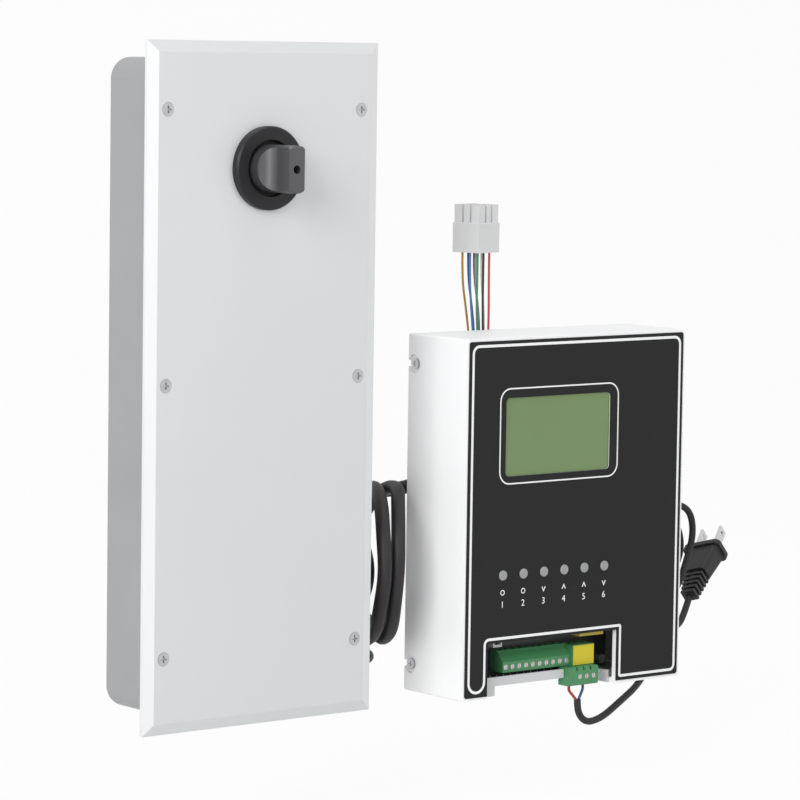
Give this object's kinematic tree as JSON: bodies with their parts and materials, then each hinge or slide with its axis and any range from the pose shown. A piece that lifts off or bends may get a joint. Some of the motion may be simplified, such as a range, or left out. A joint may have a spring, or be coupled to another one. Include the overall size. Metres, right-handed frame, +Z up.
{
  "type": "swing door operator",
  "caption": "Swing door drive unit with a tanged spindle behind a cover plate, cabled to a wall controller with display, keys and terminals.",
  "frame": {"origin": "where the spindle's axis meets the flat back of the pan", "axes": "+X right along the cover plate towards the controller, +Y out of the pan's back, +Z up along the plate; the spindle points to -Y"},
  "size_m": [0.475, 0.1226, 0.384],
  "materials": {
    "pan_metal": "satin",
    "plate_metal": "satin",
    "gasket_rubber": "matt",
    "screw_steel": "satin",
    "ring_black": "satin",
    "seal_rubber": "matt",
    "bearing_steel": "polished",
    "spindle_steel": "satin",
    "gear_steel": "machined",
    "magnet": "nickel plated",
    "board_green": "solder mask",
    "board_dark": "solder mask",
    "bridge_aluminium": "milled",
    "motor_can": "satin",
    "gland_plastic": "moulded",
    "cable_black": "matt jacket",
    "wires_coloured": "coloured insulation",
    "connector_white": "moulded",
    "contact_metal": "tinned",
    "cover_white": "fine moulded",
    "panel_black": "printed film",
    "tray_grey": "moulded",
    "display_green": "tinted pane",
    "module_dark": "moulded",
    "key_grey": "moulded",
    "terminal_green": "moulded",
    "label_yellow": "printed film",
    "clamp_steel": "plated",
    "transformer_yellow": "tape wound",
    "plug_black": "moulded",
    "blade_metal": "plated"
  },
  "bodies": {
    "housing": {"pan": "pan_metal", "cover_gasket": "gasket_rubber", "cover_plate": "plate_metal", "cover_screws": "screw_steel", "spindle_ring": "ring_black", "shaft_seal": "seal_rubber", "lower_bearing": "bearing_steel", "upper_bearing": "bearing_steel", "sensor_board": "board_green", "idler_pin": "bearing_steel", "gear_bridge": "bridge_aluminium", "bridge_screws": "screw_steel", "motor": "motor_can", "motor_screws": "screw_steel", "cable_gland": "gland_plastic", "motor_cable": "cable_black", "motor_cable_coil": "cable_black", "motor_cable_run": "cable_black", "signal_wires": "wires_coloured", "connector_housing": "connector_white", "connector_pins": "contact_metal", "front_cover": "cover_white", "front_panel": "panel_black", "base_tray": "tray_grey", "side_screws": "screw_steel", "lcd_glass": "display_green", "lcd_module": "module_dark", "display_board": "board_green", "key_switches": "module_dark", "main_board": "board_dark", "board_screws": "screw_steel", "terminal_block": "terminal_green", "power_header": "terminal_green", "header_label": "label_yellow", "power_plug": "terminal_green", "terminal_screws": "clamp_steel", "small_header": "connector_white", "transformer": "transformer_yellow", "board_parts": "module_dark", "lead_conductors": "wires_coloured", "power_lead": "cable_black", "power_lead_coil": "cable_black", "power_lead_tail": "cable_black", "plug_relief": "plug_black", "mains_plug": "plug_black", "plug_blades": "blade_metal"},
    "spindle": {"spindle": "spindle_steel", "spindle_key": "gear_steel", "main_gear": "gear_steel", "angle_magnet": "magnet"},
    "idler": {"idler_gear": "gear_steel"},
    "motor_shaft": {"drive_pinion": "gear_steel"},
    "key_1": {"button_1": "key_grey"},
    "key_2": {"button_2": "key_grey"},
    "key_3": {"button_3": "key_grey"},
    "key_4": {"button_4": "key_grey"},
    "key_5": {"button_5": "key_grey"},
    "key_6": {"button_6": "key_grey"}
  },
  "joints": [
    {"name": "spindle_turn", "type": "hinge", "parent": "housing", "child": "spindle", "pos_m": [0, 0, 0], "axis": [0, -1, 0], "range_deg": [-90, 90]},
    {"name": "idler_turn", "type": "hinge", "parent": "housing", "child": "idler", "pos_m": [0, 0, -0.057], "axis": [0, -1, 0], "range_deg": [-340, 340]},
    {"name": "motor_turn", "type": "hinge", "parent": "housing", "child": "motor_shaft", "pos_m": [0, 0, -0.10075], "axis": [0, -1, 0], "range_deg": [-1360, 1360]},
    {"name": "key_1_press", "type": "slide", "parent": "housing", "child": "key_1", "axis": [0, 1, 0], "range_m": [0, 0.0005], "stiffness_N_per_m": 600},
    {"name": "key_2_press", "type": "slide", "parent": "housing", "child": "key_2", "axis": [0, 1, 0], "range_m": [0, 0.0005], "stiffness_N_per_m": 600},
    {"name": "key_3_press", "type": "slide", "parent": "housing", "child": "key_3", "axis": [0, 1, 0], "range_m": [0, 0.0005], "stiffness_N_per_m": 600},
    {"name": "key_4_press", "type": "slide", "parent": "housing", "child": "key_4", "axis": [0, 1, 0], "range_m": [0, 0.0005], "stiffness_N_per_m": 600},
    {"name": "key_5_press", "type": "slide", "parent": "housing", "child": "key_5", "axis": [0, 1, 0], "range_m": [0, 0.0005], "stiffness_N_per_m": 600},
    {"name": "key_6_press", "type": "slide", "parent": "housing", "child": "key_6", "axis": [0, 1, 0], "range_m": [0, 0.0005], "stiffness_N_per_m": 600}
  ],
  "couplings": [
    {"joint": "idler_turn", "follows": "spindle_turn", "ratio": -3.75},
    {"joint": "motor_turn", "follows": "spindle_turn", "ratio": 15}
  ]
}
